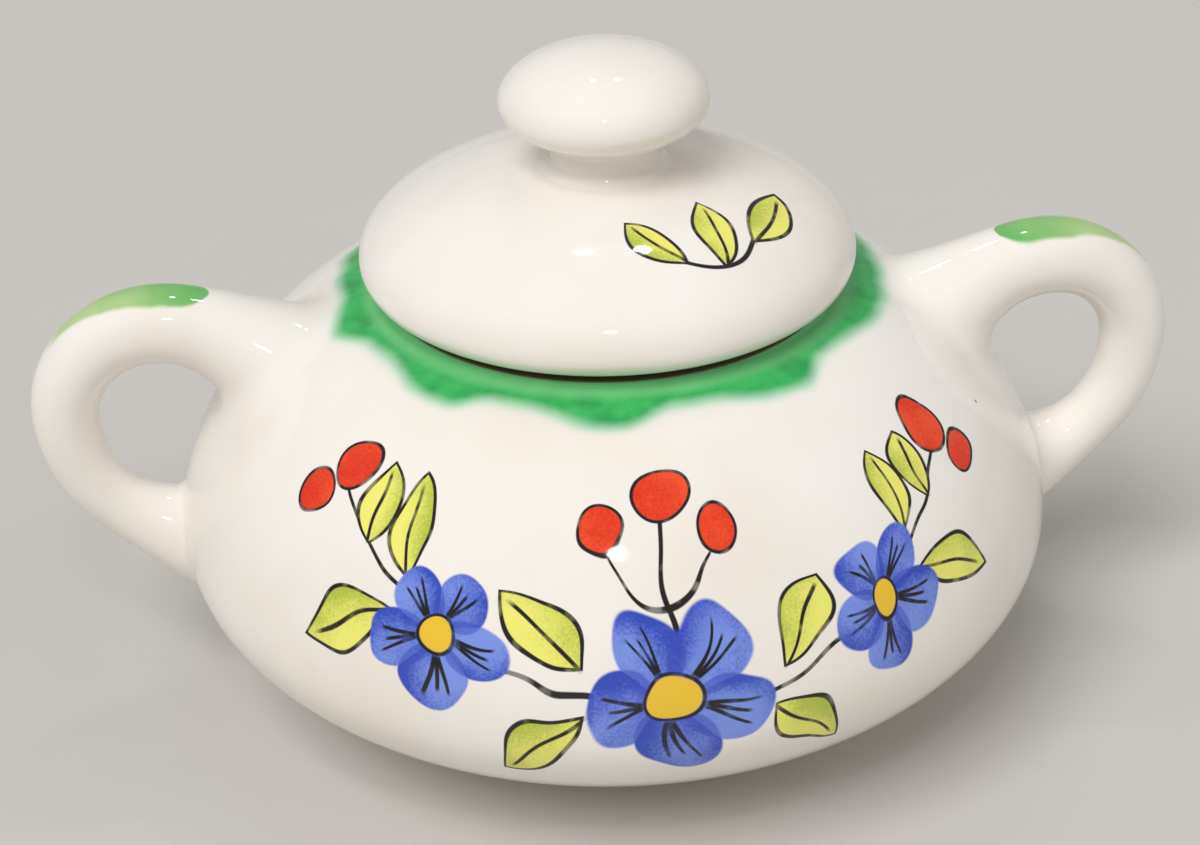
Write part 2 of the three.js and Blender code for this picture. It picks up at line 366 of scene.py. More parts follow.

# Green band round the rim: its lobes, its width, more at the back, its wash, where it fades out,
# and a painted reflection of the lid's white edge that lightens it next to the lid.
LOBES = 9
LOBE_SWAY, LOBE_LEAN = 0.1, math.radians(24)
LOBE_SHIFT = 20.79
LOBE_GROWS, LOBE_ENDS = (0.15, 0.68), (1.0, 0.7)
LOBE_LENGTH, LOBE_RIPPLE = 1.5, 1.6
BAND_NOISE = (0.12, 1.0)
BAND_RADIUS, BAND_RIPPLE = 33.2, 0.8
BAND_TURN, BAND_WIDENING = math.radians(9), 2.5
BAND_BACK = (math.radians(81), math.radians(97))
BAND_LOWEST, BAND_INNER = (50.2, 50.9), (28.3, 29)
BAND_EDGE = (-0.6, 1.7)
FRINGE_EDGE, FRINGE_SHARE = (-1.3, 0.3), 0.6
MOTTLE_NOISE = (0.3, 4.0)
MOTTLE_FADE = (0.3, 0.72)
# Painted reflection of the lid: radii over which it fades in towards the lid, and its strength.
LID_REFLECTION_FADE, LID_REFLECTION_SHARE = (32.4, 30.6), 0.7

# Stroke on a handle: it follows the bend of the loop about a middle, in degrees, swells towards
# the body and ends bluntly there.
LOOP_RADIUS, LOOP_HEIGHT = 57.5, 41
LOOP_OUTSIDE = (12.5, 14.5)
STROKE_NOISE = (0.16, 3.0)
BEND_STRAY, SIDE_STRAY, FULL_STRAY = 6, 1.2, 50
STROKE_THIN, STROKE_SWELL = 1.2, 2.1
SWELL_BEND = (38, 88)
BLUNT_BEND, BLUNT_RUN = 98, 13
STROKE_START, STROKE_END = (34, 46), (0, 0.2)
STROKE_EDGE = (-0.35, 0.45)
FULL_BEND = (40, 128)
LEAST_COVER = 0.8

# Lamps, in metres and watts: places of the two broad ones, then place, width and power of the
# small ones that leave sparks on the glaze.
KEY_PLACE = (-0.95, -1.05, 1.85)
FILL_PLACE = (1.55, -0.75, 1.25)
SPARKS = (
    ("left_spark", (-0.01, 0.17, 0.42), 0.02, 0.05),
    ("right_spark", (0.065, 0.17, 0.42), 0.02, 0.05),
    ("front_spark", (-0.04, -0.38, 0.48), 0.045, 0.17),
)

# Floor and camera.
FLOOR_REACH = 6.0
FLOOR_NOISE = (0.05, 4.0)
FLOOR_SPOTS, FLOOR_SHADE = 0.25, 0.9
FLOOR_ROUGHNESS, FLOOR_ROUGHNESS_RANGE = 0.75, 0.1
FLOOR_WAVINESS = 0.05
SENSOR_WIDTH = 36.0
CLIP_START = 0.01


def cubic(points, steps=CURVE_STEPS):
    """Points along one cubic curve given by its ends and two pulls."""
    start, leave, arrive, end = (np.array(point, float) for point in points)
    run = np.linspace(0, 1, steps + 1)[:, None]
    rest = 1 - run
    return (
        rest**3 * start + 3 * rest**2 * run * leave + 3 * rest * run**2 * arrive + run**3 * end
    )


def arc(centre, radii, start, end, steps=ROUND_STEPS):
    """Points along part of a circle or an ellipse, from one angle to another in degrees."""
    turn = np.radians(np.linspace(start, end, steps + 1))
    return np.array(centre) + np.stack([np.cos(turn), np.sin(turn)], axis=1) * radii


def belly_curve(radius, height, ring, shape):
    """Outline from the widest ring of a round pot to a narrower ring above or below it."""
    wide, narrow, slope = shape
    rise = ring[1] - height
    inset = narrow * (radius - ring[0])
    level = ring[1] - math.copysign(slope * inset, rise)
    return cubic([(radius, height), (radius, height + wide * rise), (ring[0] + inset, level), ring])


def joined(*runs):
    """One outline from runs of points, with each point that repeats the last left out."""
    points = []
    for point in np.concatenate([np.atleast_2d(np.array(run, float)) for run in runs]):
        if not points or np.hypot(*(point - points[-1])) > SAME_POINT:
            points.append(point)
    return np.array(points)


def outer_outline(sizes):
    """Outside of the body from the top of its foot ring to its rim."""
    foot = (sizes.foot_radius, sizes.foot_height)
    rim = (sizes.rim_radius, sizes.rim_height - sizes.rim_round)
    under = belly_curve(sizes.belly_radius, sizes.belly_height, foot, UNDER_SHAPE)
    over = belly_curve(sizes.belly_radius, sizes.belly_height, rim, SHOULDER_SHAPE)
    return joined(under[::-1], over)


def add_piece(name, shape, glaze, body, node):
    """Adds a smooth closed mesh that moves with a body and stands for a solid of the frame."""
    points, faces = shape
    mesh = bpy.data.meshes.new(name)
    mesh.from_pydata(np.asarray(points).tolist(), [], faces)
    mesh.polygons.foreach_set("use_smooth", [True] * len(mesh.polygons))
    mesh.materials.append(glaze)
    if mesh.validate():
        raise RuntimeError(f"{name}: the mesh has faulty faces")
    piece = bpy.data.objects.new(name, mesh)
    bpy.context.scene.collection.objects.link(piece)
    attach(piece, body)
    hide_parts(node)


def turned(outline, segments):
    """Points and faces of an outline turned about the upright axis, from axis to axis."""
    turn = np.linspace(0, math.tau, segments, endpoint=False)
    rings = outline[1:-1]
    points = [(0, 0, outline[0][1])]
    for radius, height in rings:
        points.extend(
            zip(radius * np.cos(turn), radius * np.sin(turn), np.full(segments, height))
        )
    points.append((0, 0, outline[-1][1]))
    return points, grid_faces(len(rings), segments)


def grid_faces(rings, sides):
    """Faces of stacked rings of points, closed by a point before the first and after the last."""
    faces = []
    last = 1 + rings * sides
    for side in range(sides):
        after = (side + 1) % sides
        faces.append((0, 1 + after, 1 + side))
        for ring in range(rings - 1):
            low = 1 + ring * sides
            high = low + sides
            faces.append((low + side, low + after, high + after, high + side))
        top = last - sides
        faces.append((top + side, top + after, last))
    return faces


def paint(setting):
    """A colour setting as a shader colour."""
    return (*setting, 1.0)


def both_ways(operation):
    """An operator and its reflected form, which each add a Math node."""
    def forward(self, other):
        return self.nodes.math(operation, self, other)

    def reflected(self, other):
        return self.nodes.math(operation, other, self)

    return forward, reflected


class Value:
    """A number, vector, colour or shader in a node tree, on which arithmetic adds Math nodes."""

    def __init__(self, nodes, socket):
        self.nodes = nodes
        self.socket = socket

    def beside(self, out):
        """Another output of the node that this value comes from."""
        return Value(self.nodes, self.socket.node.outputs[out])

    def __abs__(self):
        return self.nodes.math("ABSOLUTE", self)

    __add__, __radd__ = both_ways("ADD")
    __sub__, __rsub__ = both_ways("SUBTRACT")
    __mul__, __rmul__ = both_ways("MULTIPLY")
    __truediv__, __rtruediv__ = both_ways("DIVIDE")


class Nodes:
    """The emptied node tree of a material or a world."""

    def __init__(self, owner):
        owner.use_nodes = True
        self.tree = owner.node_tree
        self.tree.nodes.clear()

    def node(self, kind, settings, values, out=0):
        """Adds a node, sets its settings, then fills its sockets with numbers or links.

        Gives one of its outputs, or None if it has none.
        """
        made = self.tree.nodes.new(kind)
        for key, setting in settings.items():
            setattr(made, key, setting)
        for key, value in values.items():
            if isinstance(value, Value):
                self.tree.links.new(value.socket, made.inputs[key])
            else:
                made.inputs[key].default_value = value
        return Value(self, made.outputs[out]) if made.outputs else None

    def math(self, operation, *values):
        """One step of arithmetic on numbers."""
        return self.node("ShaderNodeMath", {"operation": operation}, dict(enumerate(values)))


class Glaze(Nodes):
    """A glaze or another finish made of shader nodes, with lengths in millimetres."""

    def __init__(self, name):
        self.material = bpy.data.materials.new(name)
        super().__init__(self.material)
        self.place = self.node(
            "ShaderNodeVectorMath", {"operation": "SCALE"},
            {0: self.node("ShaderNodeTexCoord", {}, {}, "Object"), "Scale": 1 / MM},
        )
        self.x, self.y, self.z = self.parts(self.place)

    def parts(self, vector):
        """The three numbers of a vector."""
        first = self.node("ShaderNodeSeparateXYZ", {}, {0: vector})
        return [first.beside(axis) for axis in "XYZ"]

    def fade(self, value, start, end):
        """0 before start and 1 after end, with a soft step between them."""
        return self.node(
            "ShaderNodeMapRange", {"interpolation_type": "SMOOTHSTEP"},
            {"Value": value, "From Min": start, "From Max": end},
        )

    def between(self, value, start, end):
        """1 between two soft steps."""
        return self.fade(value, *start) * self.fade(value, *end)

    def line(self, distance, half_width):
        """1 where a distance is less than half a brush line's width."""
        return self.fade(abs(distance), half_width + LINE_SOFT, half_width - LINE_SOFT)

    def mix(self, mask, below, above):
        """One colour laid over another where the mask is 1."""
        values = {MIX_MASK: mask}
        for key, shade in ((MIX_BELOW, below), (MIX_ABOVE, above)):
            values[key] = shade if isinstance(shade, Value) else paint(shade)
        return self.node("ShaderNodeMix", {"data_type": "RGBA"}, values, MIX_RESULT)

    def noise(self, scale, detail, out="Fac"):
        """Soft irregular values, with scale in waves per millimetre."""
        return self.node(
            "ShaderNodeTexNoise", {},
            {"Vector": self.place, "Scale": scale, "Detail": detail}, out,
        )

    def reach(self, across, along):
        """Distance from the point where both lengths are 0."""
        return self.math("SQRT", across * across + along * along)

    def bearing(self):
        """Turn about the upright axis, 0 at the front."""
        return self.math("ARCTAN2", self.x, 0 - self.y)

    def waver(self, scale, detail, size):
        """Two lengths by which a steady hand still strays."""
        stray = self.parts(self.noise(scale, detail, "Color"))
        return [(part - 0.5) * size for part in stray[:2]]

    def finish(self, base, roughness, bump_strength):
        """Closes the glaze: its colour, gloss and the faint waviness of a fired surface."""
        waves = self.noise(*WAVES)
        bump = self.node("ShaderNodeBump", {}, {
            "Strength": bump_strength, "Distance": WAVE_HEIGHT * MM, "Height": waves,
        })
        shader = self.node("ShaderNodeBsdfPrincipled", {}, {
            "Base Color": base, "Roughness": roughness, "IOR": GLAZE_IOR, "Normal": bump,
        })
        self.node("ShaderNodeOutputMaterial", {}, {"Surface": shader})
        return self.material


class Brushwork:
    """Flowers, leaves and berries painted on a glaze in flat coordinates of millimetres."""

    def __init__(self, glaze, colours, base, across, along):
        self.glaze = glaze
        self.colours = colours
        self.base = base
        self.across = across
        self.along = along
        grain = glaze.noise(*GRAIN_NOISE) - 0.5
        self.wash = glaze.fade(glaze.noise(*WASH_NOISE) + grain * GRAIN_SHARE, *WASH_FADE)
        firm = glaze.fade(glaze.noise(*PRESS_NOISE), *PRESS_FADE)
        self.press = LEAST_PRESS + (1 - LEAST_PRESS) * firm

    def lay(self, mask, shade):
        """Lays a colour over what is painted so far."""
        self.base = self.glaze.mix(mask, self.base, shade)

    def ink(self, mask):
        """Lays brush lines over what is painted so far."""
        self.lay(mask * self.press, self.colours.ink)

    def stalk(self, distance, within):
        """A thin brush line."""
        self.ink(self.glaze.line(distance, STALK_LINE) * within)

    def leaf(self, start, long, wide, degrees):
        """An almond leaf with a rib, which grows from its start in a direction."""
        glaze = self.glaze
        cos, sin = math.cos(math.radians(degrees)), math.sin(math.radians(degrees))
        side, up = self.across - start[0], self.along - start[1]
        run = (side * cos + up * sin) / long
        off = up * cos - side * sin
        inside = run * (1 - run) * (4 * wide) - abs(off)
        tone = glaze.fade(off / wide * LEAF_TILT + self.wash, *LEAF_WASH)
        shade = glaze.mix(tone, self.colours.leaf_light, self.colours.leaf_deep)
        self.lay(glaze.fade(inside, *LEAF_EDGE), shade)
        within = glaze.between(run, RIB_START, RIB_END)
        rib = glaze.line(off + RIB_SHIFT, FINE_LINE) * within
        self.ink(glaze.math("MAXIMUM", rib, glaze.line(inside + LEAF_MARGIN, LEAF_LINE)))

    def berry(self, centre, size):
        """A round berry with a loose brush line round it."""
        glaze = self.glaze
        reach = glaze.reach(self.across - centre[0], self.along - centre[1])
        shade = glaze.mix(self.wash, self.colours.berry_light, self.colours.berry)
        self.lay(glaze.fade(reach, size + BERRY_SOFT, size), shade)
        self.ink(glaze.line(reach - (size + BERRY_MARGIN), FINE_LINE))

    def petal_edge(self, out, off, size):
        """1 on the outline of an oval petal, less inside it."""
        middle, long, wide = (part * size for part in PETAL_OVAL)
        return self.glaze.reach((out - middle) / long, off / wide)

    def blossom(self, centre, size, degrees):
        """A flower of round petals about a yellow heart."""
        glaze = self.glaze
        side, up = self.across - centre[0], self.along - centre[1]
        reach = glaze.reach(side, up)
        turn = glaze.math("ARCTAN2", up, side) + math.radians(degrees)
        petal = glaze.math("WRAP", turn, math.pi / PETALS, -math.pi / PETALS)
        out = reach * glaze.math("COSINE", petal)
        off = reach * glaze.math("SINE", petal)
        edge = self.petal_edge(out, off, size)
        tone = edge * edge * PETAL_RIM + off / size + self.wash * PETAL_WASH
        tone = glaze.fade(tone, *PETAL_SHADE)
        shade = glaze.mix(tone, self.colours.petal_light, self.colours.petal_deep)

        # The next petal shows through where the two overlap.
        cos, sin = math.cos(math.tau / PETALS), math.sin(math.tau / PETALS)
        beside = self.petal_edge(out * cos + abs(off) * sin, abs(off) * cos - out * sin, size)
        overlap = glaze.fade(beside, *OVERLAP_EDGE) * OVERLAP_SHADE
        shade = glaze.mix(overlap, shade, self.colours.petal_deep)
        self.lay(glaze.fade(edge, *PETAL_EDGE), shade)

        # Three veins to a petal, and the heart with its line.
        spread = abs(abs(off) - VEIN_SPREAD * out + VEIN_ROOT * size)
        vein = glaze.math("MINIMUM", abs(off), spread) * (VEIN_TAPER + out / size)
        start, end = ([part * size for part in ends] for ends in (VEIN_START, VEIN_END))
        within = glaze.fade(out, *start) * glaze.fade(out + spread * VEIN_BEND, *end)
        self.ink(glaze.line(vein, FINE_LINE) * within)
        heart = [part * size for part in HEART_EDGE]
        self.lay(glaze.fade(reach, *heart), self.colours.heart)
        self.ink(glaze.line(reach - HEART_RING * size, HEART_LINE))


def glazed_base(glaze, colours):
    """White glaze that lies a little thinner in places, with a few small specks."""
    thin = glaze.fade(glaze.noise(*CREAM_NOISE), *CREAM_FADE)
    base = glaze.mix(thin, colours.white, colours.cream)
    cell = glaze.node(
        "ShaderNodeTexVoronoi", {}, {"Vector": glaze.place, "Scale": SPECK_SCALE}, "Distance"
    )
    chosen = glaze.fade(glaze.parts(cell.beside("Color"))[0], *SPECK_CHOICE)
    return glaze.mix(glaze.fade(cell, *SPECK_EDGE) * chosen, base, colours.speck)


def gloss(glaze):
    """Roughness of the fired glaze."""
    return LEAST_ROUGHNESS + ROUGHNESS_RANGE * glaze.noise(*GLOSS_NOISE)


def rim_band(glaze, colours, base):
    """Band of green wash round the rim, with soft uneven lobes, wider at the back."""
    radius = glaze.reach(glaze.x, glaze.y)
    turn = glaze.bearing()
    sway = LOBE_SWAY * glaze.math("SINE", turn + LOBE_LEAN)
    dab = glaze.math("FRACT", turn * (LOBES / math.tau) + sway + LOBE_SHIFT)
    lobe = glaze.between(dab, LOBE_GROWS, LOBE_ENDS)
    ripple = glaze.noise(*BAND_NOISE)
    wider = glaze.fade(abs(turn + BAND_TURN), *BAND_BACK)
    edge = BAND_RADIUS + wider * BAND_WIDENING + ripple * BAND_RIPPLE
    edge = edge + lobe * (LOBE_LENGTH + LOBE_RIPPLE * ripple)
    depth = edge - radius
    above = glaze.fade(glaze.z, *BAND_LOWEST) * glaze.fade(radius, *BAND_INNER)
    fringe = glaze.fade(depth, *FRINGE_EDGE) * above * FRINGE_SHARE
    painted = glaze.mix(fringe, base, colours.band_fringe)
    mottle = glaze.fade(glaze.noise(*MOTTLE_NOISE), *MOTTLE_FADE)
    green = glaze.mix(mottle, colours.band_green, colours.band_deep)
    # Painted reflection: lighter green next to the lid stands for the lid's white edge mirrored in
    # the glaze and lightens the lid's shade.
    thin = glaze.fade(radius, *LID_REFLECTION_FADE) * LID_REFLECTION_SHARE
    green = glaze.mix(thin, green, colours.band_lid_reflection)
    return glaze.mix(glaze.fade(depth, *BAND_EDGE) * above, painted, green)


def garland(glaze, colours, base, radius):
    """A garland on the front and on the back of the body, each alike to its left and right."""
    stray = glaze.waver(*GARLAND_WAVER)
    face = glaze.math("WRAP", glaze.bearing(), math.pi / 2, -math.pi / 2)
    across = abs(face * FACE_RADIUS + stray[0])
    out, up = radius - BEND_RADIUS, glaze.z - BEND_HEIGHT
    along = glaze.math("ARCTAN2", up, out) * BEND_REACH + stray[1]
    brush = Brushwork(glaze, colours, base, across, along)
    swag = along - (across * across * SWAG_RISE + SWAG_HEIGHT)
    brush.stalk(swag * SWAG_THINNING, glaze.fade(across, *SWAG_END))
    brush.stalk(across, glaze.between(along, STEM_START, STEM_END))
    brush.stalk(
        (along - across * across * FORK_RISE - FORK_HEIGHT) * FORK_THINNING,
        glaze.fade(across, *FORK_SIDE) * glaze.fade(along, *FORK_END),
    )
    for leaf in GARLAND_LEAVES:
        brush.leaf(*leaf)
    for berry in GARLAND_BERRIES:
        brush.berry(*berry)
    for blossom in GARLAND_BLOSSOMS:
        brush.blossom(*blossom)
    return glaze.mix(glaze.fade(glaze.reach(out, up), *OUTSIDE), base, brush.base)


def bowl_glaze(colours):
    """White glaze with a garland, a scalloped green band, and unglazed clay on foot and seat,
    darkened as painted shade for the seam under the lid.
    """
    glaze = Glaze("bowl_glaze_painted")
    radius = glaze.reach(glaze.x, glaze.y)
    base = glazed_base(glaze, colours)
    painted = rim_band(glaze, colours, garland(glaze, colours, base, radius))
    # Painted shade: the dark clay on the rim's seat stands for the shade in the seam under the lid.
    bare_clay_and_seam_shade = glaze.fade(glaze.z, *FOOT_BARE) + glaze.fade(glaze.z, *SEAT_BARE_AND_SHADE)
    painted = glaze.mix(bare_clay_and_seam_shade, painted, colours.biscuit_and_seam_shade)
    return glaze.finish(painted, gloss(glaze) + BARE_ROUGHNESS * bare_clay_and_seam_shade, GLAZE_WAVINESS)


def handle_glaze(colours):
    """White glaze with a green stroke along the top of each loop, and the band at its root."""
    glaze = Glaze("handle_glaze_painted")
    base = glazed_base(glaze, colours)
    side, up = abs(glaze.x) - LOOP_RADIUS, glaze.z - LOOP_HEIGHT
    stray = glaze.noise(*STROKE_NOISE) - 0.5
    bend = glaze.math("DEGREES", glaze.math("ARCTAN2", up, side)) + stray * BEND_STRAY
    outer = glaze.fade(glaze.reach(side, up), *LOOP_OUTSIDE)
    taper = STROKE_THIN + STROKE_SWELL * glaze.fade(bend, *SWELL_BEND)
    blunt = glaze.math("MAXIMUM", (bend - BLUNT_BEND) / BLUNT_RUN, 0)
    blunt = glaze.math("SQRT", glaze.math("MAXIMUM", 1 - blunt * blunt, 0))
    inside = taper * blunt - abs(glaze.y + stray * SIDE_STRAY)
    ends = glaze.fade(bend, *STROKE_START) * glaze.fade(blunt, *STROKE_END)
    full = glaze.fade(bend + stray * FULL_STRAY, *FULL_BEND)
    green = glaze.mix(full, colours.stroke_yellow, colours.stroke_green)
    stroke = glaze.fade(inside, *STROKE_EDGE) * ends * outer
    cover = LEAST_COVER + (1 - LEAST_COVER) * full
    painted = rim_band(glaze, colours, glaze.mix(stroke * cover, base, green))
    return glaze.finish(painted, gloss(glaze), GLAZE_WAVINESS)


def lid_glaze(colours):
    """White glaze with a sprig of leaves on the front and back of the dome."""
    glaze = Glaze("lid_glaze_painted")
    base = glazed_base(glaze, colours)
    stray = glaze.waver(*SPRIG_WAVER)
    radius = glaze.reach(glaze.x, glaze.y)
    front = glaze.fade(glaze.y, *FRONT_HALF)
    sector = glaze.math("WRAP", glaze.bearing(), math.pi / 2, -math.pi / 2)
    sector = sector + BACK_TURN + (FRONT_TURN - BACK_TURN) * front
    across = sector * SECTOR_RADIUS + stray[0]
    along = SPRIG_RADIUS - radius + stray[1]
    brush = Brushwork(glaze, colours, base, across, along)
    brush.stalk(
        (along + TWIG_DROP - across * across * TWIG_RISE) * TWIG_THINNING,
        glaze.between(across, TWIG_START, TWIG_END),
    )
    for leaf in SPRIG_LEAVES:
        brush.leaf(*leaf)
    painted = glaze.mix(glaze.fade(glaze.z, *DOME_START), base, brush.base)
    # Painted shade: the dark clay on the lid's seat stands for the shade in the seam above the rim.
    bare_clay_and_seam_shade = glaze.fade(radius, *LID_SEAT_SHADE_START) * glaze.fade(glaze.z, *LID_SEAT_SHADE_TOP)
    painted = glaze.mix(bare_clay_and_seam_shade, painted, colours.biscuit_and_seam_shade)
    return glaze.finish(painted, gloss(glaze) + BARE_ROUGHNESS * bare_clay_and_seam_shade, GLAZE_WAVINESS)


def knob_glaze(colours):
    """Plain white glaze."""
    glaze = Glaze("knob_glaze_plain")
    return glaze.finish(glazed_base(glaze, colours), gloss(glaze), GLAZE_WAVINESS)


class SUGARBOWL_OT_body(bpy.types.Operator):
    """Make the round hollow body on its foot ring."""

    bl_idname = "sugar_bowl.make_body"
    bl_label = "Body"

    def execute(self, context):
        sizes = context.scene.sugar_bowl_body
        rim, top, soft = sizes.rim_radius, sizes.rim_height, sizes.rim_round
        mouth = rim - sizes.rim_width
        inner_foot = sizes.foot_radius - sizes.foot_width
        foot_soft = sizes.foot_round
        inside = sizes.belly_radius - sizes.wall
        ceiling = (mouth, top - sizes.mouth_depth)
        floor = (sizes.floor_radius, sizes.foot_recess + sizes.floor_thickness)
        recess = sizes.foot_recess
        outline = joined(
            (0, recess), (0.5 * inner_foot, recess), (inner_foot - foot_soft, recess),
            arc((inner_foot - foot_soft, recess - foot_soft), foot_soft, 90, 0),
            arc((inner_foot + foot_soft, foot_soft), foot_soft, 180, 270),
            arc((sizes.foot_radius - foot_soft, foot_soft), foot_soft, 270, 360),
            outer_outline(sizes),
            arc((rim - soft, top - soft), (soft, RIM_FLATNESS * soft), 0, 90),
            arc((mouth + soft, top - soft), (soft, RIM_FLATNESS * soft), 90, 180),
            belly_curve(inside, sizes.belly_height, ceiling, SHOULDER_SHAPE)[::-1],
            belly_curve(inside, sizes.belly_height, floor, FLOOR_SHAPE),
            (0.5 * floor[0], floor[1]), (0, floor[1]),
        )
        shape = turned(outline, sizes.segments)
        glaze = bowl_glaze(context.scene.sugar_bowl_glaze)
        add_piece("painted_body", shape, glaze, "bowl", "bowl_body")
        return {"FINISHED"}


def handle_run(body, sizes):
    """Middle line of the right handle, from its upper root over its top to its lower root."""
    outline = outer_outline(body)
    root_height = body.rim_height - sizes.upper_drop
    foot_height = body.belly_height - sizes.lower_drop
    root_radius, foot_radius = np.interp(
        [root_height, foot_height], outline[:, 1], outline[:, 0]
    )
    root = np.array([root_radius - sizes.upper_depth, root_height])
    foot = np.array([foot_radius - sizes.lower_depth, foot_height])
    top = np.array([body.belly_radius + sizes.top_reach, root[1] + sizes.top_rise])
    outermost = np.array([body.belly_radius + sizes.reach, top[1] - sizes.shoulder])
    upper_span = top[0] - root[0]
    lower_span = outermost[0] - foot[0]
    leave = np.array([math.cos(sizes.upper_angle), math.sin(sizes.upper_angle)])
    arrive = np.array([math.cos(sizes.lower_angle), math.sin(sizes.lower_angle)])
    quarter = QUARTER_TURN * (outermost[0] - top[0])
    drop = top[1] - outermost[1]
    runs = (
        [root, root + UPPER_PULL * upper_span * leave, top - (TOP_PULL * upper_span, 0), top],
        [top, top + (quarter, 0), outermost + (0, QUARTER_TURN * drop), outermost],
        [
            outermost, outermost - (0, OUTER_PULL * (outermost[1] - foot[1])),
            foot + LOWER_PULL * lower_span * arrive, foot,
        ],
    )
    return joined(*(cubic(run, RUN_STEPS) for run in runs))


def directions(vectors):
    """Vectors made one unit long."""
    return vectors / np.linalg.norm(vectors, axis=-1, keepdims=True)


def eased(value):
    """A soft step from 0 to 1."""
    value = np.clip(value, 0, 1)
    return value * value * (3 - 2 * value)


class HandleRoll:
    """Surface of the right handle: an oval roll, with slip smoothed on to the body at its roots."""

    def __init__(self, body, sizes):
        self.sizes = sizes
        self.outline = outer_outline(body)
        self.slope = directions(np.gradient(self.outline, axis=0))
        self.line = handle_run(body, sizes)
        steps = np.linalg.norm(np.diff(self.line, axis=0), axis=1)
        self.run = np.concatenate([[0], np.cumsum(steps)])
        self.whole = self.run[-1]
        self.tangent = directions(np.gradient(self.line, self.run, axis=0))

    def belly(self, height):
        """Radius of the body's outside at a height."""
        return np.interp(height, self.outline[:, 1], self.outline[:, 0])

    def belly_normal(self, point):
        """Direction in which the body's outside faces at a point on it."""
        along = [np.interp(point[2], self.outline[:, 1], part) for part in self.slope.T]
        out = directions(point[:2]) * along[1]
        return np.array([*out, -along[0]])

    def skin(self, place, turn):
        """Points of the roll's surface at places along it, on the long line at one turn."""
        place = np.atleast_1d(place)
        sizes = self.sizes
        centre = np.stack([np.interp(place, self.run, part) for part in self.line.T], axis=1)
        ahead = np.stack([np.interp(place, self.run, part) for part in self.tangent.T], axis=1)
        beyond = np.minimum(place, 0) + np.maximum(place - self.whole, 0)
        centre += ahead * beyond[:, None]
        thinning = (sizes.lower_radius - sizes.upper_radius) * eased(place / self.whole)
        thick = sizes.upper_radius + thinning
        thick += sizes.upper_flare * np.clip(1 - place / sizes.upper_flare_run, 0, 1) ** 2
        thick += sizes.lower_flare * eased(1 - (self.whole - place) / sizes.lower_flare_run)
        side = thick * math.cos(turn)
        return np.stack([
            centre[:, 0] - ahead[:, 1] * side,
            thick * sizes.widening * math.sin(turn),
            centre[:, 1] + ahead[:, 0] * side,
        ], axis=1)

    def crossing(self, turn, upper):
        """Place along the roll where one of its long lines comes out of the body."""
        places = np.linspace(-BURIED, self.whole + BURIED, CROSSING_STEPS)
        points = self.skin(places, turn)
        clear = np.hypot(points[:, 0], points[:, 1]) - self.belly(points[:, 2])
        middle = len(places) // 2
        half = clear[:middle] if upper else clear[middle:]
        buried = np.nonzero(half < 0)[0]
        if not len(buried):
            raise RuntimeError("a handle does not reach the body")
        first = buried[-1] if upper else middle + buried[0] - 1
        part = clear[first] / (clear[first] - clear[first + 1])
        return places[first] + part * (places[first + 1] - places[first])

    def fillet_size(self, turn, upper):
        """Size of the slip on one long line, larger under the upper root than above it."""
        sizes = self.sizes
        if not upper:
            return sizes.lower_fillet
        below = (1 - math.cos(turn)) / 2
        return sizes.top_fillet + (sizes.upper_fillet - sizes.top_fillet) * below

    def fillet(self, turn, upper):
        """Place where the slip begins on the roll, then its points out to its hidden end."""
        size = self.fillet_size(turn, upper)
        sign = 1 if upper else -1
        meet = self.crossing(turn, upper)
        corner = self.skin(meet, turn)[0]
        begin = meet + sign * size
        leave = self.skin(begin, turn)[0]
        back = directions(self.skin(begin - sign * LOOK_BACK, turn)[0] - leave)
        facing = self.belly_normal(corner)
        ahead = [np.interp(meet, self.run, part) for part in self.tangent.T]
        out = np.array([-ahead[1] * math.cos(turn), math.sin(turn), ahead[0] * math.cos(turn)])
        away = directions(out - facing * (out @ facing))
        end = corner + away * size
        end[:2] *= self.belly(end[2]) / math.hypot(end[0], end[1])
        normal = self.belly_normal(end)
        away = directions(away - normal * (away @ normal))
        curve = cubic([
            leave, leave + back * FILLET_PULL * np.linalg.norm(corner - leave),
            end - away * FILLET_PULL * np.linalg.norm(corner - end), end,
        ], FILLET_RINGS)[1:]
        sunk = [end + away * over - normal * under for over, under in SLIP_EDGE]
        return begin, np.concatenate([curve, sunk, [corner - facing * ROOT_DEPTH]])

    def rings(self):
        """Rings of points round the roll, from one hidden end to the other."""
        columns = []
        for turn in np.linspace(0, math.tau, HANDLE_SIDES, endpoint=False):
            begin, upper = self.fillet(turn, True)
            end, lower = self.fillet(turn, False)
            free = self.skin(np.linspace(begin, end, HANDLE_RINGS + 1), turn)
            columns.append(np.concatenate([upper[::-1], free, lower]))
        rings = np.stack(columns, axis=1)
        return rings if faces_out(rings) else rings[:, ::-1]


def faces_out(rings):
    """True if faces laid over the rings in order look outwards."""
    middle = len(rings) // 2
    low, high = rings[middle], rings[middle + 1]
    across = np.cross(low[1] - low[0], high[0] - low[0])
    return across @ (low[0] - low.mean(axis=0)) > 0


class SUGARBOWL_OT_handles(bpy.types.Operator):
    """Make the two loop handles, smoothed into the body with slip."""

    bl_idname = "sugar_bowl.make_handles"
    bl_label = "Handles"

    def execute(self, context):
        body = context.scene.sugar_bowl_body
        sizes = context.scene.sugar_bowl_handle
        rings = HandleRoll(body, sizes).rings()
        count, sides = rings.shape[:2]
        faces = grid_faces(count, sides)
        glaze = handle_glaze(context.scene.sugar_bowl_glaze)
        for name, node, sign in (
            ("right_loop", "right_handle", 1), ("left_loop", "left_handle", -1)
        ):
            loop = rings * (sign, sign, 1)
            points = np.concatenate(
                [[loop[0].mean(axis=0)], loop.reshape(-1, 3), [loop[-1].mean(axis=0)]]
            )
            add_piece(name, (points, faces), glaze, "bowl", node)
        return {"FINISHED"}


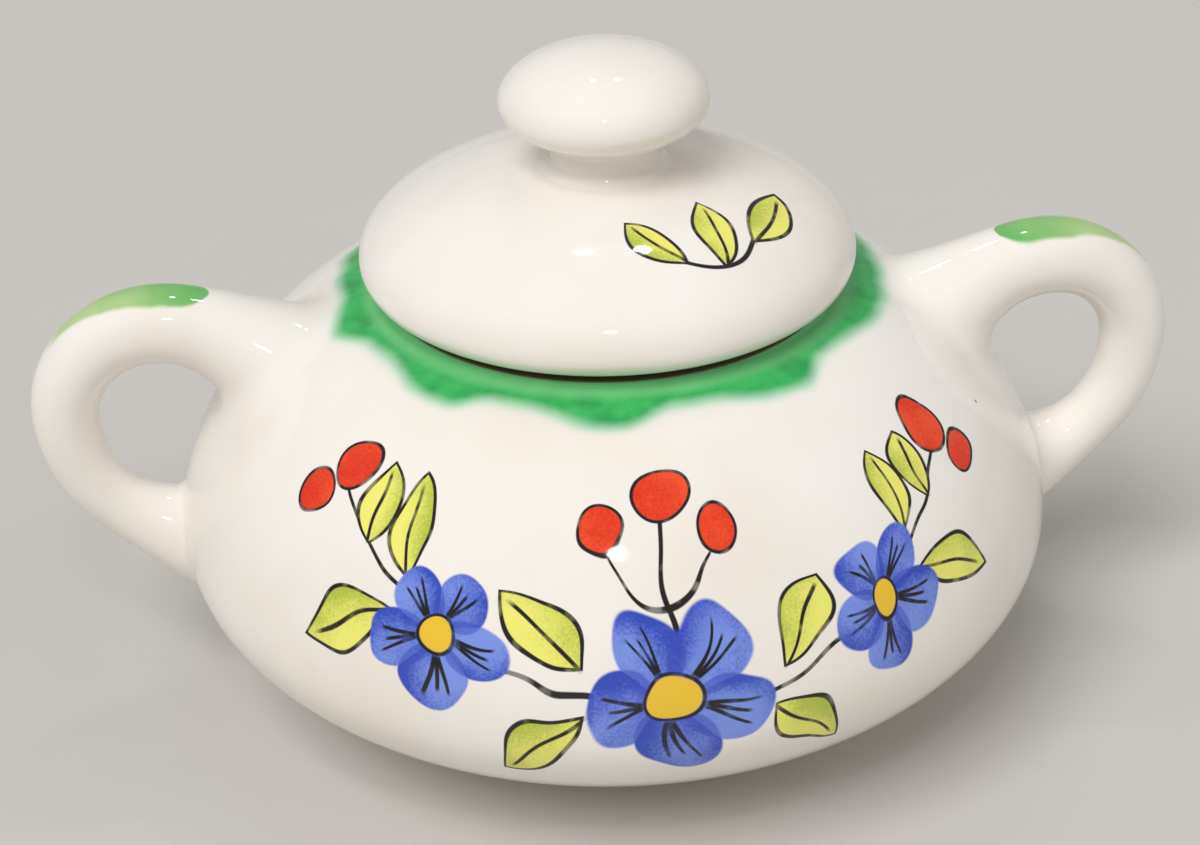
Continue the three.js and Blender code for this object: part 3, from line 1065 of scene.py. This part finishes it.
def dome_height(body, lid, radius):
    """Height of the lid's outside at a radius."""
    edge = body.rim_height + lid.seat_gap + lid.edge_round
    return edge + lid.rise * math.sqrt(1 - (radius / lid.radius) ** 2)


class SUGARBOWL_OT_lid(bpy.types.Operator):
    """Make the domed lid with its flange and hollow."""

    bl_idname = "sugar_bowl.make_lid"
    bl_label = "Lid"

    def execute(self, context):
        body = context.scene.sugar_bowl_body
        sizes = context.scene.sugar_bowl_lid
        under = body.rim_height + sizes.seat_gap
        edge = under + sizes.edge_round
        hollow = (sizes.radius - sizes.thickness, sizes.rise - sizes.thickness)
        flange_in = sizes.flange_radius - sizes.flange_thickness
        tip, soft = LID_LOW.z, sizes.flange_round
        bend = math.degrees(math.acos(flange_in / hollow[0]))
        corner = sizes.radius - sizes.edge_round
        lower = sizes.edge_round - sizes.undercut
        root = sizes.flange_radius + soft
        outline = joined(
            arc((0, edge), hollow, 90, bend, CURVE_STEPS),
            arc((flange_in + soft, tip + soft), soft, 180, 270),
            arc((sizes.flange_radius - soft, tip + soft), soft, 270, 360),
            arc((root, under - soft), soft, 180, 90),
            arc((corner, edge), (sizes.edge_round, lower), 270, 360, 2 * ROUND_STEPS),
            arc((0, edge), (sizes.radius, sizes.rise), 0, 90, 2 * CURVE_STEPS),
        )
        shape = turned(outline, body.segments)
        glaze = lid_glaze(context.scene.sugar_bowl_glaze)
        add_piece("painted_lid", shape, glaze, "lid", "lid")
        return {"FINISHED"}


class SUGARBOWL_OT_knob(bpy.types.Operator):
    """Make the flattened knob on its flared neck."""

    bl_idname = "sugar_bowl.make_knob"
    bl_label = "Knob"

    def execute(self, context):
        body = context.scene.sugar_bowl_body
        lid = context.scene.sugar_bowl_lid
        sizes = context.scene.sugar_bowl_knob
        widest = KNOB_HIGH.z - sizes.crown
        flare, neck, soft = sizes.flare_radius, sizes.neck_radius, sizes.lip_round
        foot = dome_height(body, lid, flare)
        waist = foot + sizes.flare_height
        lip = neck + sizes.lip
        bend = math.degrees(math.acos(lip / sizes.radius))
        belly = arc((0, widest), (sizes.radius, sizes.under), -bend, 0, CURVE_STEPS)
        under_lip = belly[0][1] - 2 * soft
        outline = joined(
            (0, foot - PLUG_MIDDLE), (flare - PLUG_BEVEL, foot - PLUG_DEPTH),
            (flare, foot - PLUG_EDGE),
            cubic([
                (flare, foot - FLARE_SINK), ((flare + neck) / 2, foot + FLARE_START),
                (neck, waist - FLARE_PULL * sizes.flare_height), (neck, waist),
            ]),
            cubic([
                (neck, waist), (neck, under_lip - LIP_BEND), (neck + LIP_BEND, under_lip),
                (lip - soft, under_lip),
            ], ROUND_STEPS),
            arc((lip - soft, under_lip + soft), soft, 270, 360),
            belly,
            arc((0, widest), (sizes.radius, sizes.crown), 0, 90, CURVE_STEPS),
        )
        shape = turned(outline, body.segments)
        glaze = knob_glaze(context.scene.sugar_bowl_glaze)
        add_piece("round_knob", shape, glaze, "lid", "lid_knob")
        return {"FINISHED"}


def add_lamp(name, kind, place, aim, energy):
    """Adds a lamp that shines on a point."""
    data = bpy.data.lights.new(name, kind)
    data.energy = energy
    lamp = bpy.data.objects.new(name, data)
    lamp.location = place
    lamp.rotation_euler = (aim - Vector(place)).to_track_quat("-Z", "Y").to_euler()
    bpy.context.scene.collection.objects.link(lamp)
    return lamp


class SUGARBOWL_OT_stage(bpy.types.Operator):
    """Make the camera, the floor and the lamps."""

    bl_idname = "sugar_bowl.make_stage"
    bl_label = "Stage"

    def execute(self, context):
        scene = context.scene
        stage = scene.sugar_bowl_stage
        scene.view_settings.view_transform = "Standard"
        self.add_camera(scene, stage)
        self.add_floor(scene, stage)
        aim = Vector((0, 0, stage.aim_height))
        glow = stage.sky
        for name, place, strength in (
            ("key_lamp", KEY_PLACE, stage.key), ("fill_lamp", FILL_PLACE, stage.fill),
        ):
            lamp = add_lamp(name, "SUN", place, aim, strength)
            lamp.data.angle = stage.softness
            lamp.visible_glossy = False
            glow += strength * (Vector(place) - aim).normalized().z / math.pi
        for name, place, width, power in SPARKS:
            spark = add_lamp(name, "AREA", place, aim, power)
            spark.data.shape = "DISK"
            spark.data.size = width
        self.add_sky(scene, stage, glow)
        return {"FINISHED"}

    def add_sky(self, scene, stage, glow):
        """Even light all round, which the camera sees as bright as the far floor."""
        scene.world = bpy.data.worlds.new("even_light")
        nodes = Nodes(scene.world)
        even = nodes.node(
            "ShaderNodeBackground", {}, {"Color": (1, 1, 1, 1), "Strength": stage.sky}
        )
        seen = nodes.node(
            "ShaderNodeBackground", {}, {"Color": paint(stage.floor), "Strength": glow}
        )
        camera_ray = nodes.node("ShaderNodeLightPath", {}, {}, "Is Camera Ray")
        sky = nodes.node("ShaderNodeMixShader", {}, {0: camera_ray, 1: even, 2: seen})
        nodes.node("ShaderNodeOutputWorld", {}, {"Surface": sky})

    def add_camera(self, scene, stage):
        """The camera, turned and raised about the point that it aims at."""
        turn, rise = stage.azimuth, stage.elevation
        back = Vector((
            math.sin(turn) * math.cos(rise), -math.cos(turn) * math.cos(rise), math.sin(rise)
        ))
        right = Vector((math.cos(turn), math.sin(turn), 0))
        up = back.cross(right)
        data = bpy.data.cameras.new("view_camera")
        data.sensor_fit = "HORIZONTAL"
        data.sensor_width = SENSOR_WIDTH
        data.lens = stage.lens
        data.clip_start = CLIP_START
        camera = bpy.data.objects.new("view_camera", data)
        place = Vector((0, 0, stage.aim_height)) + right * stage.aim_side + back * stage.distance
        facing = Matrix((right, up, back)).transposed().to_4x4()
        camera.matrix_world = (
            Matrix.Translation(place) @ facing @ Matrix.Rotation(stage.roll, 4, "Z")
        )
        scene.collection.objects.link(camera)
        scene.camera = camera

    def add_floor(self, scene, stage):
        """A plain matt floor that runs out of sight."""
        far = FLOOR_REACH
        mesh = bpy.data.meshes.new("floor")
        mesh.from_pydata(
            [(-far, -far, 0), (far, -far, 0), (far, far, 0), (-far, far, 0)], [], [(0, 1, 2, 3)]
        )
        matt = Glaze("floor_matt")
        grain = matt.noise(*FLOOR_NOISE)
        dark = [FLOOR_SHADE * part for part in stage.floor]
        tone = matt.mix(grain * FLOOR_SPOTS, stage.floor, dark)
        roughness = FLOOR_ROUGHNESS + FLOOR_ROUGHNESS_RANGE * grain
        mesh.materials.append(matt.finish(tone, roughness, FLOOR_WAVINESS))
        floor = bpy.data.objects.new("floor", mesh)
        scene.collection.objects.link(floor)


OPERATORS = (
    SUGARBOWL_OT_stage,
    SUGARBOWL_OT_body,
    SUGARBOWL_OT_handles,
    SUGARBOWL_OT_lid,
    SUGARBOWL_OT_knob,
)


class SUGARBOWL_PT_panel(bpy.types.Panel):
    """Lists the pieces of the sugar bowl and their settings."""

    bl_idname = "SUGARBOWL_PT_panel"
    bl_label = "Sugar bowl"
    bl_space_type = "VIEW_3D"
    bl_region_type = "UI"
    bl_category = "Sugar bowl"

    def draw(self, context):
        for operator in OPERATORS:
            self.layout.operator(operator.bl_idname)
        for name, group in SETTINGS:
            column = self.layout.box().column()
            for key in group.__annotations__:
                column.prop(getattr(context.scene, name), key)


def register():
    for _, group in SETTINGS:
        bpy.utils.register_class(group)
    for name, group in SETTINGS:
        setattr(bpy.types.Scene, name, PointerProperty(type=group))
    for operator in OPERATORS:
        bpy.utils.register_class(operator)
    bpy.utils.register_class(SUGARBOWL_PT_panel)


def unregister():
    bpy.utils.unregister_class(SUGARBOWL_PT_panel)
    for operator in reversed(OPERATORS):
        bpy.utils.unregister_class(operator)
    for name, group in reversed(SETTINGS):
        delattr(bpy.types.Scene, name)
        bpy.utils.unregister_class(group)


def main():
    register()
    bpy.ops.sugar_bowl.make_stage()
    bpy.ops.sugar_bowl.make_body()
    bpy.ops.sugar_bowl.make_handles()
    bpy.ops.sugar_bowl.make_lid()
    bpy.ops.sugar_bowl.make_knob()


if __name__ == "__main__":
    main()
